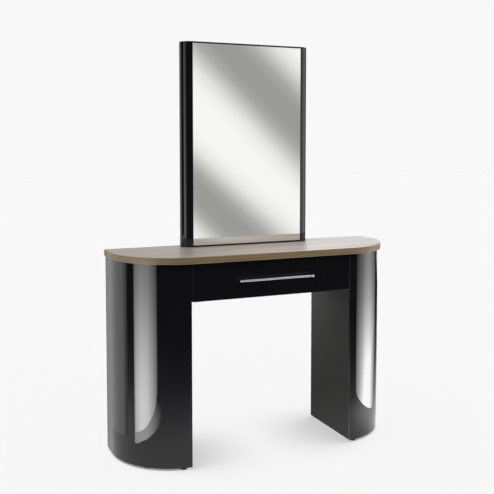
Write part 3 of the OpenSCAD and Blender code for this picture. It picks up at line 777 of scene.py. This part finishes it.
def lamp(name, kind, location, target, energy, size, receivers=()):
    """A soft lamp that gloss doesn't mirror, on the named objects alone if any are named."""
    data = bpy.data.lights.new(name, kind)
    data.energy = energy
    if kind == "SUN":
        data.angle = size
    else:
        data.shape = "DISK"
        data.size = size
    obj = bpy.data.objects.new(name, data)
    scene.collection.objects.link(obj)
    obj.location = location
    obj.rotation_euler = (Vector(target) - Vector(location)).to_track_quat("-Z", "Y").to_euler()
    obj.visible_glossy = False
    obj.visible_camera = False
    if receivers:
        group = bpy.data.collections.new(name + "_on")
        for receiver in receivers:
            group.objects.link(receiver)
        obj.light_linking.receiver_collection = group
    return obj


OVERHEAD_LIGHT = 0.9
TOP_PIECES = [bpy.data.objects["worktop_laminate_v"], bpy.data.objects["worktop_edge_band_v"]]
PANELS = [frame["nodes"]["left_inner_panel"], frame["nodes"]["right_inner_panel"]]
lamp("lamp_top_right", "AREA", (0.90, 0.10, 1.60), (0.42, 0.0, 0.89), 2.5, 0.45, TOP_PIECES)
lamp("lamp_top_middle", "AREA", (0.04, -0.20, 1.30), (0.02, 0.0, 0.89), 1.7, 0.30, TOP_PIECES)
lamp("lamp_overhead", "SUN", (0, 0, 4), (0, 0.25, 0), OVERHEAD_LIGHT, math.radians(55))
lamp("lamp_knee", "AREA", (0.0, 0.38, 0.72), (0.38, 0.02, 0.62), 2.2, 0.25, PANELS)

# What the mirror faces: two soft diagonal bands of shade on a pale card.
# Each band is (height at X_MID, slope, half width, growth of the half width along X).
X_MID = 1.5
BANDS = [(2.070, -0.922, 0.805, 0.067), (0.492, -0.923, 0.697, 0.173)]
BAND_REACH = 1.05


def mirror_view(tree, glow):
    """The bands, dark along their middles and fading out at BAND_REACH half widths."""
    vector = place(tree)
    x = math_node(tree, "SUBTRACT", axis_of(tree, vector, "X"), X_MID)
    z = axis_of(tree, vector, "Z")
    nearest = None
    for height, slope, half, growth in BANDS:
        middle = math_node(tree, "ADD", math_node(tree, "MULTIPLY", x, slope), height)
        width = math_node(tree, "ADD", math_node(tree, "MULTIPLY", x, growth), half)
        off_middle = math_node(tree, "ABSOLUTE", math_node(tree, "SUBTRACT", z, middle))
        off = math_node(tree, "DIVIDE", off_middle, width)
        nearest = off if nearest is None else math_node(tree, "MINIMUM", nearest, off)
    colour = ramp(tree, math_node(tree, "DIVIDE", nearest, BAND_REACH), [
        (0.0, 0.340), (0.143, 0.350), (0.286, 0.418), (0.429, 0.598), (0.571, 0.805), (0.714, 0.922),
        (0.857, 0.968), (1.0, 0.975)])
    tree.links.new(colour, glow.inputs["Color"])
    glow.inputs["Strength"].default_value = 1.04


emitter("card_mirror", mirror_view, [
    (0.85, -3.4, 0.38), (2.28, -3.4, 0.38), (2.28, -3.4, 2.4), (0.85, -3.4, 2.4)])

# The floor's own glow makes up the background's grey where no shadow falls on it
FLOOR_ALBEDO = 0.06
FLOOR_SUN = 16.0
FLOOR_TILT = math.radians(12)
FLOOR_LIGHT = DOME_LIGHT + (OVERHEAD_LIGHT + 2 * FLOOR_SUN * math.cos(FLOOR_TILT)) / math.pi
FLOOR_HALF = 30


def floor_sheet():
    """A pale diffuse sheet for the camera alone."""
    mesh = bpy.data.meshes.new("floor")
    corners = [(x * FLOOR_HALF, y * FLOOR_HALF, 0) for x, y in ((-1, -1), (1, -1), (1, 1), (-1, 1))]
    mesh.from_pydata(corners, [], [(0, 1, 2, 3)])
    obj = bpy.data.objects.new("floor", mesh)
    scene.collection.objects.link(obj)
    mat = bpy.data.materials.new("floor")
    mat.use_nodes = True
    tree = mat.node_tree
    tree.nodes.clear()
    out = tree.nodes.new("ShaderNodeOutputMaterial")
    diffuse = tree.nodes.new("ShaderNodeBsdfDiffuse")
    diffuse.inputs["Color"].default_value = (FLOOR_ALBEDO, FLOOR_ALBEDO, FLOOR_ALBEDO, 1)
    glow = tree.nodes.new("ShaderNodeEmission")
    glow.inputs["Color"].default_value = (1, 1, 1, 1)
    glow.inputs["Strength"].default_value = BACKGROUND - FLOOR_ALBEDO * FLOOR_LIGHT
    add = tree.nodes.new("ShaderNodeAddShader")
    tree.links.new(diffuse.outputs[0], add.inputs[0])
    tree.links.new(glow.outputs[0], add.inputs[1])
    tree.links.new(add.outputs[0], out.inputs["Surface"])
    mesh.materials.append(mat)
    obj.visible_glossy = False
    obj.visible_diffuse = False
    return obj


# One sun for each pedestal throws its soft shadow inwards; the bottom plates block both suns
FLOOR = floor_sheet()
for side, sign in (("left", -1), ("right", 1)):
    sun = lamp("lamp_floor_" + side, "SUN", (sign * math.tan(FLOOR_TILT), 0, 1), (0, 0, 0), FLOOR_SUN,
               math.radians(25), [FLOOR])
    blockers = bpy.data.collections.new("blockers_" + side)
    for piece in (side + "_curved_shell_v", side + "_inner_panel", side + "_back_panel",
                  "left_bottom_plate", "right_bottom_plate"):
        blockers.objects.link(bpy.data.objects[piece])
    sun.light_linking.blocker_collection = blockers

# Brighter and darker patches of the floor as gloss sees it: (x, y, radius, strength)
FLOOR_PATCHES = [(0.82, -0.26, 0.42, 1.25), (-1.25, 0.15, 0.55, 0.15), (0.2, 0.5, 0.6, -0.6)]


def floor_glow(tree, glow):
    """The floor for gloss: bright near the middle, fading outward, with the patches added."""
    flat = place(tree)
    length = tree.nodes.new("ShaderNodeVectorMath")
    length.operation = "LENGTH"
    tree.links.new(place(tree, (1.0, 1.6, 1.0)), length.inputs[0])
    total = ramp(tree, math_node(tree, "MULTIPLY", length.outputs["Value"], 0.25), [
        (0.0, 1.0), (0.22, 0.9), (0.36, 0.42), (0.52, 0.16), (0.8, 0.05), (1.0, 0.02)], "B_SPLINE")
    for x, y, radius, strength in FLOOR_PATCHES:
        away = tree.nodes.new("ShaderNodeVectorMath")
        away.operation = "DISTANCE"
        away.inputs[1].default_value = (x, y, 0)
        tree.links.new(flat, away.inputs[0])
        share = math_node(tree, "DIVIDE", away.outputs["Value"], radius)
        near = ramp(tree, share, [(0.0, 1.0), (1.0, 0.0)], "EASE")
        total = math_node(tree, "ADD", total, math_node(tree, "MULTIPLY", near, strength))
    glow.inputs["Color"].default_value = (1, 1, 1, 1)
    tree.links.new(total, glow.inputs["Strength"])


GLOW_HALF = 12
GLOW_LIFT = 0.5 * MM
emitter("floor_glow", floor_glow, [
    (x * GLOW_HALF, y * GLOW_HALF, GLOW_LIFT) for x, y in ((-1, -1), (1, -1), (1, 1), (-1, 1))])


def build_world():
    """A pale backdrop for the camera, a dome for diffuse light, and near black for gloss."""
    world = bpy.data.worlds.new("studio")
    scene.world = world
    world.use_nodes = True
    tree = world.node_tree
    tree.nodes.clear()
    out = tree.nodes.new("ShaderNodeOutputWorld")
    path = tree.nodes.new("ShaderNodeLightPath")
    seen = tree.nodes.new("ShaderNodeBackground")
    seen.inputs["Color"].default_value = (BACKGROUND, BACKGROUND, BACKGROUND, 1)
    dome = tree.nodes.new("ShaderNodeBackground")
    dome.inputs["Color"].default_value = (1, 1, 1, 1)
    where = tree.nodes.new("ShaderNodeTexCoord")
    height = axis_of(tree, where.outputs["Generated"], "Z")
    tree.links.new(span(tree, height, 0.04, DOME_LIGHT, -0.05, 0.22), dome.inputs["Strength"])
    gloss = tree.nodes.new("ShaderNodeBackground")
    gloss.inputs["Color"].default_value = (0.012, 0.012, 0.014, 1)
    first = tree.nodes.new("ShaderNodeMixShader")
    second = tree.nodes.new("ShaderNodeMixShader")
    tree.links.new(path.outputs["Is Glossy Ray"], first.inputs[0])
    tree.links.new(dome.outputs[0], first.inputs[1])
    tree.links.new(gloss.outputs[0], first.inputs[2])
    tree.links.new(path.outputs["Is Camera Ray"], second.inputs[0])
    tree.links.new(first.outputs[0], second.inputs[1])
    tree.links.new(seen.outputs[0], second.inputs[2])
    tree.links.new(second.outputs[0], out.inputs["Surface"])


build_world()

camera_data = bpy.data.cameras.new("camera")
camera_data.sensor_width = 36.0
camera_data.lens = 58.14
camera_data.shift_y = -0.1035
camera_data.clip_end = 100
camera = bpy.data.objects.new("camera", camera_data)
camera.location = (-1.4719, -3.2290, 1.3531)
camera.rotation_euler = (math.radians(90 - 3.7264), 0.0, math.radians(-23.6769))
scene.collection.objects.link(camera)
scene.camera = camera
